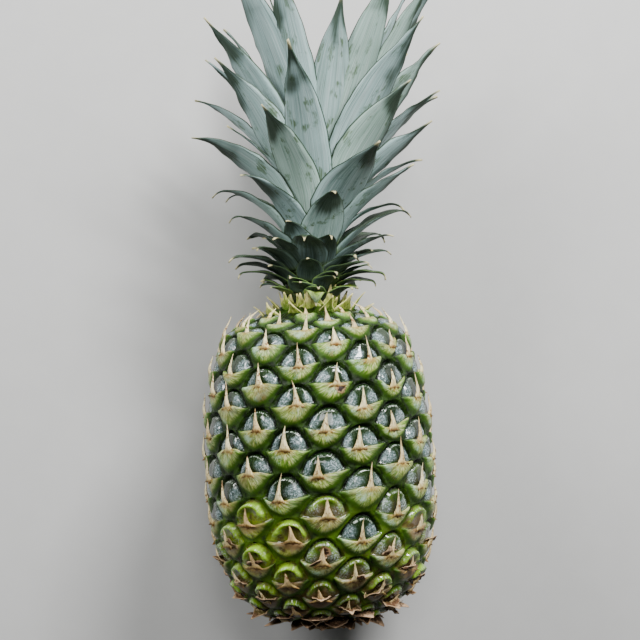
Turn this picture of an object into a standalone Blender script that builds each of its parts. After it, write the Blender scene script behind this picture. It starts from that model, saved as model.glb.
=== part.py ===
"""A whole pineapple lying on its side, as picked.

The fruit's axis runs along +Y, towards the crown of leaves, and the belly rests on the plane z = 0.
The origin is the middle of the flat patch that the fruit rests on. Lengths are in metres and
angles in degrees. Each leaf, the crown's stem, the fruit and the cut stalk is one object.
"""

from math import atan2, cos, hypot, pi, radians, sin, tan

import bmesh
import bpy
from mathutils import Matrix, Vector

# The fruit: a barrel of revolution about an axis parallel to Y.
BELLY_RADIUS = 0.0610
AXIS_HEIGHT = 0.0605
FRUIT_BASE_Y = -0.088
FRUIT_BELLY_Y = -0.010
FRUIT_TOP_Y = 0.0865
SHOULDER_POWER, SHOULDER_ROOT = 2.4, 0.25
FOOT_POWER, FOOT_ROOT = 2.3, 0.33

# The eyes: one spiral of them, each turned this far and a step further down than the last.
EYE_TURN = -38.02
EYE_DROP = 0.001226
EYE_SHRINK = 0.5
EYE_SIDES = (9, 10)
FIRST_EYE_ANGLE = 73.35
TOP_EYE_RADIUS = 0.0154
FOOT_EYE_RADIUS = 0.0150
EYE_GROOVE = 0.0016
EYE_RISE = 0.0020

# The stalk that held the fruit, cut short at the fruit's foot.
STALK_RADIUS = 0.0105
STALK_LENGTH = 0.0080
FOOT_HOLLOW = 0.0040
END_MARGIN = 0.0010

# The crown: a short tapering stem that leans to +X, set closely with leaves.
CROWN_LEAN = 7.4
CROWN_BASE_Y = 0.0880
STEM_LENGTH = 0.0760
STEM_RADIUS, STEM_TIP_RADIUS = 0.0140, 0.0050
LEAF_THICKNESS = 0.0008
LEAF_GAP = 0.0005
LEAF_ROWS, LEAF_COLUMNS = 7, 4
WIDEST_WRAP = 38.0
CHANNEL_RADIUS = 0.0170
TIP_WIDTH = 0.0008
PIECE_GAP = 0.0003

# Each leaf, from the lowest to the innermost: where it starts up the stem, its azimuth (0 faces up,
# away from the table, and +90 faces +X), its length, its direction at the tip from the crown's axis
# (90 is square to the axis, more is curled back), and its widest width. Millimetres and degrees.
LEAVES = (
    (1.8, -58, 12, 88, 14),
    (4.0, 170, 22, 110, 18),
    (4.2, -88, 15, 118, 15),
    (4.5, -14, 12, 84, 16),
    (5.5, 68, 14, 105, 15),
    (5.5, -134, 26, 112, 18),
    (6.0, 140, 26, 112, 18),
    (7.0, -84, 30, 118, 18),
    (7.5, 86, 24, 112, 17),
    (8.0, 30, 13, 84, 17),
    (9.0, -100, 32, 110, 19),
    (9.5, 80, 31, 110, 19),
    (10.0, -160, 34, 100, 21),
    (11.0, -78, 37, 112, 20),
    (12.5, 58, 25, 92, 21),
    (13.0, 166, 38, 96, 22),
    (14.5, -60, 27, 88, 21),
    (15.2, 97, 35, 90, 21),
    (16.5, -8, 36, 84, 24),
    (17.0, -132, 44, 98, 23),
    (18.0, 76, 38, 78, 23),
    (20.5, 128, 46, 98, 23),
    (21.0, -74, 46, 92, 25),
    (22.0, 188, 48, 78, 25),
    (23.2, -31, 27, 62, 22),
    (23.5, 94, 53, 79, 25),
    (26.0, 13, 44, 48, 28),
    (26.5, -92, 60, 92, 25),
    (27.0, 150, 60, 80, 26),
    (28.5, -50, 57, 76, 29),
    (30.0, 80, 63, 62, 26),
    (31.5, -146, 66, 74, 26),
    (32.5, 34, 71, 66, 32),
    (34.5, -76, 82, 86, 24),
    (36.0, 186, 78, 62, 26),
    (37.0, 88, 83, 60, 24),
    (38.5, -34, 78, 60, 28),
    (40.5, -110, 98, 74, 23),
    (40.5, 108, 98, 55, 23),
    (43.0, -64, 95, 54, 24),
    (43.5, 57, 90, 46, 26),
    (44.0, 158, 94, 52, 24),
    (46.5, -21, 101, 46, 28),
    (47.0, 80, 111, 42, 23),
    (47.0, -158, 96, 48, 24),
    (50.0, 129, 108, 41, 22),
    (50.5, -72, 116, 52, 23),
    (52.0, 52, 115, 42, 26),
    (54.0, -106, 108, 44, 22),
    (56.0, 72, 136, 31, 24),
    (56.5, 182, 112, 37, 23),
    (59.0, -58, 146, 40, 27),
    (61.0, 36, 132, 28, 26),
    (62.5, -40, 131, 31, 24),
    (65.5, 4, 103, 24, 28),
    (64.5, -130, 118, 28, 22),
    (66.5, 104, 122, 24, 22),
)

MM = 0.001


def clear_scene():
    for thing in list(bpy.data.objects):
        bpy.data.objects.remove(thing, do_unlink=True)


def make_material(name, colour, roughness):
    material = bpy.data.materials.new(name)
    material.use_nodes = True
    shader = material.node_tree.nodes["Principled BSDF"]
    shader.inputs["Base Color"].default_value = (*colour, 1.0)
    shader.inputs["Roughness"].default_value = roughness
    return material


def add_object(name, mesh_maker, material):
    """A mesh object from a bmesh, with its faces turned outwards."""
    bmesh.ops.recalc_face_normals(mesh_maker, faces=mesh_maker.faces)
    mesh = bpy.data.meshes.new(name)
    mesh_maker.to_mesh(mesh)
    mesh_maker.free()
    mesh.materials.append(material)
    thing = bpy.data.objects.new(name, mesh)
    bpy.context.scene.collection.objects.link(thing)
    return thing


# The fruit


def barrel_radius(y):
    """The fruit's radius at a place along its axis, between the eyes."""
    if y > FRUIT_BELLY_Y:
        reach = (y - FRUIT_BELLY_Y) / (FRUIT_TOP_Y - FRUIT_BELLY_Y)
        power, root = SHOULDER_POWER, SHOULDER_ROOT
    else:
        reach = (FRUIT_BELLY_Y - y) / (FRUIT_BELLY_Y - FRUIT_BASE_Y)
        power, root = FOOT_POWER, FOOT_ROOT
    return BELLY_RADIUS * max(1 - min(reach, 1) ** power, 0) ** root


def barrel_meridian(steps=4000):
    """Points (y, radius) down the fruit's outline, from its top to its foot."""
    points = []
    for step in range(steps + 1):
        turn = pi * step / steps
        middle = (FRUIT_TOP_Y + FRUIT_BASE_Y) / 2
        y = middle + cos(turn) * (FRUIT_TOP_Y - FRUIT_BASE_Y) / 2
        points.append((y, barrel_radius(y)))
    return points


def spiral_places():
    """(y, radius) for each step of the eyes' spiral. A step shrinks with the radius at the ends."""
    places = []
    travelled = 0.0
    points = barrel_meridian()
    for (y0, r0), (y1, r1) in zip(points, points[1:]):
        if r0 < TOP_EYE_RADIUS and y0 > 0:
            continue
        if r1 < FOOT_EYE_RADIUS and y1 < 0:
            break
        travelled += hypot(y1 - y0, r1 - r0) / (r1 / BELLY_RADIUS) ** EYE_SHRINK
        while travelled >= EYE_DROP * len(places):
            places.append((y1, r1))
    return places


def on_fruit(angle, y, radius):
    """A point at an azimuth about the fruit's axis, where 0 faces up and +90 faces +X."""
    return Vector((radius * sin(angle), y, AXIS_HEIGHT + radius * cos(angle)))


def add_corner(fruit, places, steps):
    """The corner that three neighbouring eyes share, at the middle of their places."""
    angle = radians(FIRST_EYE_ANGLE + EYE_TURN * steps[0])
    left, right = EYE_SIDES
    turned = {left: left * EYE_TURN + 360, right: right * EYE_TURN + 360}
    turned[left + right] = turned[left] + turned[right]
    drift = sum(turned.get(step - steps[0], 0) for step in steps) / 3
    y = sum(places[step][0] for step in steps) / 3
    radius = sum(places[step][1] for step in steps) / 3
    return fruit.verts.new(on_fruit(angle + radians(drift), y, radius))


def close_end(fruit, y, radius):
    """Closes an open end of the fruit with a ring at this radius and a flat middle."""
    rim = [edge for edge in fruit.edges if edge.is_boundary and (edge.verts[0].co.y > 0) == (y > 0)]
    grown = bmesh.ops.extrude_edge_only(fruit, edges=rim)["geom"]
    for vert in (item for item in grown if isinstance(item, bmesh.types.BMVert)):
        flat = Vector((vert.co.x, 0, vert.co.z - AXIS_HEIGHT)).normalized() * radius
        vert.co = (flat.x, y, AXIS_HEIGHT + flat.z)
    ring = [item for item in grown if isinstance(item, bmesh.types.BMEdge)]
    bmesh.ops.holes_fill(fruit, edges=ring, sides=0)


def make_fruit(material):
    fruit = bmesh.new()
    places = spiral_places()
    left, right = EYE_SIDES
    whole = left + right
    count = len(places)
    lefts = {}
    rights = {}
    for step in range(count - whole):
        lefts[step] = add_corner(fruit, places, (step, step + left, step + whole))
        rights[step] = add_corner(fruit, places, (step, step + right, step + whole))
    for eye in range(whole, count - whole):
        corners = (
            lefts[eye - whole],
            rights[eye - right],
            lefts[eye],
            rights[eye],
            lefts[eye - left],
            rights[eye - whole],
        )
        fruit.faces.new(corners)
    bmesh.ops.recalc_face_normals(fruit, faces=fruit.faces)
    eyes = list(fruit.faces)
    close_end(fruit, FRUIT_TOP_Y, STEM_RADIUS + END_MARGIN)
    close_end(fruit, FRUIT_BASE_Y + FOOT_HOLLOW, STALK_RADIUS + END_MARGIN)
    bmesh.ops.recalc_face_normals(fruit, faces=fruit.faces)
    bmesh.ops.inset_individual(fruit, faces=eyes, thickness=EYE_GROOVE, depth=EYE_RISE)
    bmesh.ops.triangulate(fruit, faces=fruit.faces)
    cut = bmesh.ops.bisect_plane(
        fruit,
        geom=list(fruit.verts) + list(fruit.edges) + list(fruit.faces),
        plane_co=(0, 0, 0),
        plane_no=(0, 0, 1),
        clear_inner=True,
    )
    edges = [item for item in cut["geom_cut"] if isinstance(item, bmesh.types.BMEdge)]
    bmesh.ops.holes_fill(fruit, edges=edges, sides=0)
    return add_object("fruit", fruit, material)


def make_stalk(material):
    """The stub of the stalk, set in the hollow of the fruit's foot."""
    stalk = bmesh.new()
    bmesh.ops.create_cone(
        stalk,
        cap_ends=True,
        segments=20,
        radius1=STALK_RADIUS,
        radius2=STALK_RADIUS * 0.94,
        depth=STALK_LENGTH,
    )
    middle = FRUIT_BASE_Y + FOOT_HOLLOW - PIECE_GAP - STALK_LENGTH / 2
    bmesh.ops.rotate(stalk, verts=stalk.verts, matrix=Matrix.Rotation(pi / 2, 3, "X"))
    bmesh.ops.translate(stalk, verts=stalk.verts, vec=(0, middle, AXIS_HEIGHT))
    return add_object("cut_stalk", stalk, material)


# The crown


def stem_radius(along):
    return STEM_RADIUS + (STEM_TIP_RADIUS - STEM_RADIUS) * along / STEM_LENGTH


def in_crown(angle, reach, along):
    """A point of the crown, from its azimuth, its distance from the axis and its height up it."""
    lean = radians(CROWN_LEAN)
    sideways = reach * sin(angle)
    return Vector(
        (
            sideways * cos(lean) + along * sin(lean),
            CROWN_BASE_Y - sideways * sin(lean) + along * cos(lean),
            AXIS_HEIGHT + reach * cos(angle),
        )
    )


def make_stem(material):
    """The crown's stem: a cone whose foot is flat on the fruit's top and whose axis leans."""
    stem = bmesh.new()
    rise = cos(radians(CROWN_LEAN))
    drift = tan(radians(CROWN_LEAN))
    bmesh.ops.create_cone(
        stem,
        cap_ends=True,
        segments=24,
        radius1=STEM_RADIUS,
        radius2=STEM_TIP_RADIUS,
        depth=STEM_LENGTH,
    )
    foot = FRUIT_TOP_Y + PIECE_GAP
    for vert in stem.verts:
        along = vert.co.z + STEM_LENGTH / 2
        vert.co = (vert.co.x + along * drift, foot + along * rise, AXIS_HEIGHT + vert.co.y)
    return add_object("crown_stem", stem, material)


def base_angle(start):
    """How far a leaf leaves the stem from the crown's axis: the lowest lie nearly flat."""
    return 13 + 50 * max(1 - start / 40, 0) ** 1.5


def leaf_width(part, width):
    """A leaf's width at a part of its length: clasping below, widest at a quarter, pointed."""
    body = 0.8 + 0.2 * min(part / 0.25, 1)
    return max(width * body * (1 - part**2.4), TIP_WIDTH)


def midrib(start, length, tip_angle):
    """(reach, along, direction) at each row of a leaf, which bends evenly from its base to its tip."""
    reach = stem_radius(start) + LEAF_THICKNESS + LEAF_GAP
    along = start
    first = radians(base_angle(start / MM))
    bend = radians(tip_angle) - first
    places = [(reach, along, first)]
    fine = 8
    steps = LEAF_ROWS * fine
    for step in range(steps):
        direction = first + bend * (step + 0.5) / steps
        reach += sin(direction) * length / steps
        along += cos(direction) * length / steps
        if (step + 1) % fine == 0:
            places.append((reach, along, first + bend * (step + 1) / steps))
    return places


def make_leaf(name, leaf, material):
    """A thin channelled leaf: it clasps the stem, and opens to a gutter further out."""
    start, azimuth, length, tip_angle, width = leaf
    rows = midrib(start * MM, length * MM, tip_angle)
    blade = bmesh.new()
    bmesh.ops.create_grid(blade, x_segments=LEAF_COLUMNS, y_segments=LEAF_ROWS, size=1)
    for vert in blade.verts:
        part = (vert.co.y + 1) / 2
        reach, along, direction = rows[round(part * LEAF_ROWS)]
        curve = min(reach, CHANNEL_RADIUS)
        wrap = min(leaf_width(part, width * MM) / 2 / curve, radians(WIDEST_WRAP)) * vert.co.x
        sideways = curve * sin(wrap)
        lifted = curve * (1 - cos(wrap))
        out = reach - lifted * cos(direction)
        turn = atan2(sideways, out)
        vert.co = in_crown(radians(azimuth) + turn, hypot(sideways, out), along + lifted * sin(direction))
    leaf_object = add_object(name, blade, material)
    wall = leaf_object.modifiers.new("blade", "SOLIDIFY")
    wall.thickness = LEAF_THICKNESS
    wall.offset = 0
    return leaf_object


def main():
    clear_scene()
    rind = make_material("rind", (0.16, 0.20, 0.05), 0.45)
    cut_wood = make_material("stalk", (0.42, 0.36, 0.20), 0.8)
    pith = make_material("crown_stem", (0.45, 0.50, 0.28), 0.7)
    leaf_green = make_material("leaf", (0.15, 0.21, 0.13), 0.5)
    make_fruit(rind)
    make_stalk(cut_wood)
    make_stem(pith)
    for number, leaf in enumerate(LEAVES, start=1):
        make_leaf(f"leaf_{number:02d}", leaf, leaf_green)


main()
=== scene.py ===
import bisect
import random
from math import atan2, cos, exp, hypot, pi, radians, sin, sqrt

import bmesh
import bpy
from mathutils import Matrix, Vector, noise


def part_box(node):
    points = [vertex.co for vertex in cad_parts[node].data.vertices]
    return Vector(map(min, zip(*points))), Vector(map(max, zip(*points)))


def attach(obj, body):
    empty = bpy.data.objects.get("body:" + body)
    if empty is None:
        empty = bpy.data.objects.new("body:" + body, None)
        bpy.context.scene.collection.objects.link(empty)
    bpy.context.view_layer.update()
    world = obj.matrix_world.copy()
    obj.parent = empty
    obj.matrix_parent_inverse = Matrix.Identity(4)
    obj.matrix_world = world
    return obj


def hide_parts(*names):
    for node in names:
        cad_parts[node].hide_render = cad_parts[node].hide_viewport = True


# A whole pineapple lying on its side. Metres, with the crown towards +Y and the table at z = 0.
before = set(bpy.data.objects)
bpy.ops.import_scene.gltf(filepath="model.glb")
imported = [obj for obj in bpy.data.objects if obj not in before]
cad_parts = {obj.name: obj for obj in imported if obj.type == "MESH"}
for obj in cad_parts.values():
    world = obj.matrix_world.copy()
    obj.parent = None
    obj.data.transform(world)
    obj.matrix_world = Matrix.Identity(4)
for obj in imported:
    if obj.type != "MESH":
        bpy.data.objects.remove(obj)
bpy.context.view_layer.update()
mm = 0.001
dice = random.Random(11)


# Small helpers


def mix(low, high, share):
    return low + (high - low) * share


# 0 below low, 1 above high, and a smooth rise between.
def ease(low, high, value):
    share = min(max((value - low) / (high - low), 0.0), 1.0)
    return share * share * (3 - 2 * share)


# A smooth bump that is 1 in the middle.
def bell(middle, width, value):
    return exp(-(((value - middle) / width) ** 2))


def noiseIn(x, y, z):
    return noise.noise(Vector((x, y, z)))


# One random value from each of these spans.
def drawEach(source, spans):
    return {name: source.uniform(*span) for name, span in spans.items()}


# A colour read as 0 to 255, as the shader wants it.
def linear(red, green, blue):
    parts = (part / 255 for part in (red, green, blue))
    return (*(part / 12.92 if part <= 0.04045 else ((part + 0.055) / 1.055) ** 2.4 for part in parts), 1.0)


# A finished piece from a bmesh, on the one body that the pineapple has.
def addPiece(name, maker, materials, smooth=True):
    piece = addObject(name, maker, materials)
    piece.data.shade_smooth() if smooth else piece.data.shade_flat()
    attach(piece, "root")
    return piece


# A flat map of a bmesh from above, with its origin in the middle.
def layMap(maker, name, span):
    layer = maker.loops.layers.uv.new(name)
    for face in maker.faces:
        for loop in face.loops:
            loop[layer].uv = (0.5 + loop.vert.co.x / span, 0.5 + loop.vert.co.y / span)


# New layers for a bmesh's own marks, which the materials read.
def markLayers(layers, *names):
    return [layers.float.new(name) for name in names]


def addObject(name, maker, materials):
    mesh = bpy.data.meshes.new(name)
    maker.to_mesh(mesh)
    maker.free()
    for material in materials:
        mesh.materials.append(material)
    return addToScene(bpy.data.objects.new(name, mesh))


def addToScene(thing):
    bpy.context.scene.collection.objects.link(thing)
    return thing


# Shader helpers. Most add to the tree of the first socket that they are given.


def isSocket(value):
    return isinstance(value, bpy.types.NodeSocket)


# Gives an input a value, or the socket that feeds it.
def feed(target, value):
    if isSocket(value):
        target.id_data.links.new(value, target)
    else:
        target.default_value = value


# A shader node with its settings. links gives inputs their values or the sockets that feed them.
def addNode(tree, kind, links=None, **settings):
    node = tree.nodes.new(kind)
    for setting, value in settings.items():
        setattr(node, setting, value)
    for socket, value in (links or {}).items():
        feed(node.inputs[socket], value)
    return node


# The outputs of a node in the tree that its links come from.
def joinNode(kind, links, **settings):
    tree = next(value.id_data for value in links.values() if isSocket(value))
    return addNode(tree, kind, links, **settings).outputs


def math(operation, first, second=0.0):
    return joinNode("ShaderNodeMath", {0: first, 1: second}, operation=operation)[0]


def times(value, *others):
    for other in others:
        value = math("MULTIPLY", value, other)
    return value


def plus(value, *others):
    for other in others:
        value = math("ADD", value, other)
    return value


# A noise's swing about its middle, times reach.
def swing(value, reach):
    return times(math("SUBTRACT", value, 0.5), reach)


def distance(across, along):
    return math("SQRT", plus(times(across, across), times(along, along)))


def awayFrom(vector, place):
    return joinNode("ShaderNodeVectorMath", {0: vector, 1: place}, operation="DISTANCE")["Value"]


def remap(value, low, high, toLow=0.0, toHigh=1.0):
    links = {"Value": value, "From Min": low, "From Max": high, "To Min": toLow, "To Max": toHigh}
    return joinNode("ShaderNodeMapRange", links, interpolation_type="SMOOTHSTEP")["Result"]


# Colours are sockets, three numbers from 0 to 255, or four that are linear already.
def blendColour(share, under, over):
    under, over = (
        linear(*colour) if isinstance(colour, tuple) and len(colour) == 3 else colour
        for colour in (under, over)
    )
    return joinNode("ShaderNodeMix", {0: share, 6: under, 7: over}, data_type="RGBA")[2]


# A colour from its layers, in the order of their masks. Each mask has its colour by the same name.
def paint(colours, **masks):
    colour = colours["base"]
    for name, mask in masks.items():
        colour = blendColour(mask, colour, colours[name])
    return colour


def noiseAt(vector, scale, detail=3.0, roughness=0.6):
    links = {"Vector": vector, "Scale": scale, "Detail": detail, "Roughness": roughness}
    return joinNode("ShaderNodeTexNoise", links)["Fac"]


# Noise drawn out along the fruit.
def fibreNoise(vector, across, along, detail=3.0, roughness=0.6):
    stretched = joinNode("ShaderNodeMapping", {"Vector": vector, "Scale": (across, along, across)})[0]
    return noiseAt(stretched, 1.0, detail, roughness)


def objectPlace(tree):
    return addNode(tree, "ShaderNodeTexCoord").outputs["Object"]


def readY(vector):
    return joinNode("ShaderNodeSeparateXYZ", {0: vector})["Y"]


def readMap(tree, name):
    chart = addNode(tree, "ShaderNodeUVMap", uv_map=name)
    return joinNode("ShaderNodeSeparateXYZ", {0: chart.outputs[0]})[:2]


def readMarks(tree, *names):
    return [addNode(tree, "ShaderNodeAttribute", attribute_name=name).outputs["Fac"] for name in names]


# A material, its tree and its shader, with the constants that are the same all over.
def newMaterial(name, **constants):
    material = bpy.data.materials.new(name)
    material.use_nodes = True
    tree = material.node_tree
    shader = tree.nodes["Principled BSDF"]
    dress(shader, **constants)
    return material, tree, shader


def dress(shader, **sockets):
    for socket, value in sockets.items():
        feed(shader.inputs[socket.replace("_", " ")], value)


def addBump(shader, height, strength, depth):
    links = {"Strength": strength, "Distance": depth, "Height": height}
    dress(shader, Normal=joinNode("ShaderNodeBump", links)[0])


# An empty node group, as (tree, what it is given, what it sends).
def newGroup(name, inputs, outputs):
    tree = bpy.data.node_groups.new(name, "ShaderNodeTree")
    kinds = {"Vector": "NodeSocketVector", "Colour": "NodeSocketColor"}
    for socket, value in inputs.items():
        kind = kinds.get(socket, "NodeSocketFloat")
        made = tree.interface.new_socket(socket, in_out="INPUT", socket_type=kind)
        if value is not None:
            made.default_value = value
    for socket in outputs:
        kind = kinds.get(socket, "NodeSocketFloat")
        tree.interface.new_socket(socket, in_out="OUTPUT", socket_type=kind)
    return tree, tree.nodes.new("NodeGroupInput").outputs, tree.nodes.new("NodeGroupOutput").inputs


def useGroup(group, **links):
    links = {socket.replace("_", " "): value for socket, value in links.items()}
    return joinNode("ShaderNodeGroup", links, node_tree=group)


# Patches of a mealy bloom: broad clouds broken up by fine specks.
def makeBloomGroup():
    inputs = {"Vector": None, "Cloud Scale": 150.0, "Speck Scale": 900.0, "Cover": 0.5}
    tree, given, sent = newGroup("mealyBloom", inputs, ("Mask", "Height"))
    cloud = noiseAt(given["Vector"], given["Cloud Scale"])
    speck = noiseAt(given["Vector"], given["Speck Scale"], 4.0, 0.7)
    both = plus(times(cloud, 0.6), times(speck, 0.4))
    start = math("SUBTRACT", 0.72, times(given["Cover"], 0.4))
    feed(sent["Mask"], remap(both, start, plus(start, 0.14)))
    feed(sent["Height"], both)
    return tree


# Fine streaks that run one way: across is squeezed and along is stretched.
def makeStreakGroup():
    inputs = {"Across": 0.0, "Along": 0.0, "Seed": 0.0, "Count": 30.0, "Stretch": 0.5}
    tree, given, sent = newGroup("fineStreaks", inputs, ("Streak",))
    across = times(given["Across"], given["Count"])
    along = times(given["Along"], given["Stretch"])
    spread = joinNode("ShaderNodeCombineXYZ", {"X": across, "Y": along, "Z": times(given["Seed"], 37.0)})
    feed(sent["Streak"], noiseAt(spread[0], 1.0))
    return tree


mealyBloom = makeBloomGroup()
fineStreaks = makeStreakGroup()


def dusted(vector, cloud, speck, cover):
    return useGroup(mealyBloom, Vector=vector, Cloud_Scale=cloud, Speck_Scale=speck, Cover=cover)


def streaks(across, along, seed, count, stretch):
    return useGroup(fineStreaks, Across=across, Along=along, Seed=seed, Count=count, Stretch=stretch)[0]


# The barrel that the eyes lie on, as the CAD fruit has it.
barrel = {
    "bellyRadius": 0.0610,
    "axisHeight": 0.0605,
    "baseY": -0.088,
    "bellyY": -0.010,
    "topY": 0.0865,
    "shoulder": (2.4, 0.25),
    "foot": (2.3, 0.33),
    "turn": -38.02,        # degrees from one eye of the spiral to the next
    "drop": 0.001226,      # how far down the next one sits, at the belly
    "shrink": 0.5,         # how that step shrinks with the radius
    "firstAngle": 73.35,
    "topRadius": 0.0154,   # where the spiral starts
    "sides": (9, 10),      # steps to the neighbours below, right and left
    "settle": 0.005,       # how far the shoulders sink below the neck
}
degreeLength = barrel["bellyRadius"] * radians(1)


def barrelRadius(y):
    if y > barrel["bellyY"]:
        reach = (y - barrel["bellyY"]) / (barrel["topY"] - barrel["bellyY"])
        power, root = barrel["shoulder"]
    else:
        reach = (barrel["bellyY"] - y) / (barrel["bellyY"] - barrel["baseY"])
        power, root = barrel["foot"]
    return barrel["bellyRadius"] * max(1 - min(reach, 1) ** power, 0) ** root


# Rows (step of the spiral, y, radius) from the fruit's top to its foot.
def walkBarrel(steps=3000):
    rows = []
    middle = (barrel["topY"] + barrel["baseY"]) / 2
    half = (barrel["topY"] - barrel["baseY"]) / 2
    lastY, lastRadius, travelled, offset = barrel["topY"], 0.0, 0.0, None
    for step in range(1, steps):
        y = middle + cos(pi * step / steps) * half
        radius = barrelRadius(y)
        scale = (radius / barrel["bellyRadius"]) ** barrel["shrink"]
        travelled += hypot(y - lastY, radius - lastRadius) / scale / barrel["drop"]
        if offset is None and radius >= barrel["topRadius"]:
            offset = travelled
        rows.append((travelled, y, radius))
        lastY, lastRadius = y, radius
    return [(at - offset, y, radius) for at, y, radius in rows]


barrelRows = walkBarrel()
barrelSteps = [row[0] for row in barrelRows]


# (y, radius, slope) of the barrel at a step of the spiral. The slope turns from the top to the foot.
def barrelAt(step):
    place = min(max(bisect.bisect(barrelSteps, step), 1), len(barrelRows) - 1)
    (s0, y0, r0), (s1, y1, r1) = barrelRows[place - 1], barrelRows[place]
    share = min(max((step - s0) / (s1 - s0), 0), 1)
    y = mix(y0, y1, share)
    return y - barrel["settle"] * ease(0.068, 0.082, y), mix(r0, r1, share), atan2(r1 - r0, y0 - y1)


# A point over the barrel: the angle is 0 at the top of the fruit and grows towards +X.
def fruitPoint(angle, step, lift):
    y, radius, slope = barrelAt(step)
    radius += lift * cos(slope)
    y += lift * sin(slope)
    turn = radians(angle)
    return Vector((radius * sin(turn), y, barrel["axisHeight"] + radius * cos(turn)))


def eyeScale(step):
    return (barrelAt(step)[1] / barrel["bellyRadius"]) ** barrel["shrink"]


# How far some eyes of the upper face sit off the spiral: number, sideways, towards the base. Millimetres.
eyeDrift = (
    (39, -2, 1.5), (40, 3.5, 0), (41, -2, -1), (48, 3.5, 4.5), (49, 3, -0.5), (50, -1, -1.5),
    (58, 4, 0), (59, 2, -0.5), (60, -4, 1.5), (67, -2, 4), (68, 3.5, -0.5), (69, 0, -3),
    (77, -2, 2), (78, 3, -3), (79, -1, -4), (86, -4, 3), (87, -2, 0), (88, 1.5, -3),
    (95, -2, 0.5), (96, -4, -1), (97, -2, -3.5), (98, 3, -4.5), (105, 2.5, -2), (106, -4.5, 0),
    (107, -1.5, -3), (114, -1.5, 1.5), (115, 3.5, -3), (116, -4, -0.5), (124, 0.5, 1), (125, 2, -2),
    (126, -3, 0), (134, 0.5, 1), (135, 4, -2.5),
)
drift = {
    "reach": 11 * mm,
    "end": 2.2,            # where it ends, times reach
    "fade": 1.6,
    "least": 0.75,         # the weight at which it is full
}


# The drift at a place of the barrel, spread smoothly about the eyes that have one.
def driftAt(angle, step):
    sideways = down = total = 0.0
    for number, across, along in eyeDrift:
        below = (step - number) * barrel["drop"] / drift["reach"]
        if abs(below) > drift["end"]:
            continue
        away = (angle - barrel["firstAngle"] - barrel["turn"] * number + 180) % 360 - 180
        near = hypot(away * degreeLength / drift["reach"], below)
        if near < drift["end"]:
            weight = exp(-near * near * drift["fade"])
            sideways += across * weight
            down += along * weight
            total += weight
    share = 1 / max(total, drift["least"])
    return sideways * share * mm / degreeLength, down * share * mm / barrel["drop"]


# The rind: one closed skin of eyes. Each has a fleshy bract below and a glossy dome above.
rind = {
    "cuts": 13,            # rows of faces in each half of an eye, less one
    "firstEye": 19,
    "lastEye": 190,
    "edge": -0.4,          # lifts over the barrel, millimetres: where eyes meet
    "groove": -3.0,        # in the ring round a dome
    "bract": 2.3,
    "dome": 0.9,
    "round": 0.87,         # how much of its half of the eye a dome fills
    "arch": 2.5,           # how far the swollen rim of a ripe dome stands up
    "ridge": 0.4,          # the fine ridge inside the rim of every dome
    "lip": 1.0,            # how far a bract's upper edge hangs over the dome
    "dip": 2.4,            # how far that edge sags between its horns
    "bulge": 0.5,          # how far a bract's flanks swell past their own foot
    "seam": -0.5,          # where a bract meets its dome
    "narrow": (1.0, 0.30), # how broad a bract's crest is at its horns and at its toe
    "flank": 0.20,         # how soft its flanks are
    "toe": 0.60,           # where its toe starts to fall
    "horns": 0.7,          # how far it stands up near its horns
    "dent": 0.5,           # how far a ripe one is dented
    "square": 2.7,         # how square a dome is
    "archAt": (0.80, 0.16),     # where across a dome its rim is, and how wide
    "ridgeAt": (0.86, 0.07),
    "sunk": 0.7,           # how far a ripe dome sinks
    "furrow": 0.6,         # the dent down the middle of a dome
    "crease": 0.4,         # and the one across it
    "rough": ((40, 0.7), (130, 0.8), (420, 0.25)),     # fineness and height of its unevenness
    "ripens": (-0.022, -0.058),     # where eyes ripen towards the base
    "waver": 0.022,        # how far either way that is uneven
    "ripeDip": 1.3,        # how much more the edges of ripe eyes sag and slant
    "ripeSlant": 2,
    "crowd": (1.6, 1.5),   # how much closer its rows are at the edges of an eye, across and along
    "ends": (("topY", -0.5, 13), ("baseY", 3.5, 11)),  # where it closes: shift and radius
    "vary": {
        "swollen": (0.4, 1.7),
        "plump": (0.75, 1.15),
        "domed": (0.4, 1.5),
        "broad": (0.88, 1.06),
        "dip": (0.5, 1.4),
        "slant": (-1.2, 1.2),
        "tint": (0, 1),
    },
}
mapSpan = 32 * mm          # the width and height of the eye map, in metres at the belly

# Where the rind ripens to a bright yellow green: one soft patch low on the upper left.
blush = {
    "place": (-0.032, -0.042, 0.105),
    "size": (0.014, 0.034),
    "strength": 0.95,
    "swollen": 1.5,
    "domed": 1.3,
}

# Two round scars on the upper face.
scar = {
    "places": ((0.0133, 0.0402, 0.0032), (0.0003, -0.0440, 0.0034)),   # x, y and size of each
    "lift": 0.0018,        # from the barrel to their middle
    "wobble": 0.004,       # how uneven their edges are
    "ringEdge": (1, 0.75),      # shares of the size where the ring starts and is full
    "pitEdge": (0.62, 0.42),
    "colours": {"ring": (150, 116, 84), "pit": (44, 28, 20)},
}


# The six corners of an eye's cell in (degrees, steps): each is the middle of three eyes.
def cellCorners():
    right, left = barrel["sides"]
    both = right + left
    turnOf = {step: barrel["turn"] * step + 360 for step in (right, left)}
    turnOf[both] = turnOf[right] + turnOf[left]
    around = [(-1, both), (-1, left), (1, right), (1, both), (1, left), (-1, right)]
    return [
        (sum(sign * turnOf[step] for sign, step in pair) / 3, sum(sign * step for sign, step in pair) / 3)
        for pair in zip(around, around[1:] + around[:1])
    ]


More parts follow.
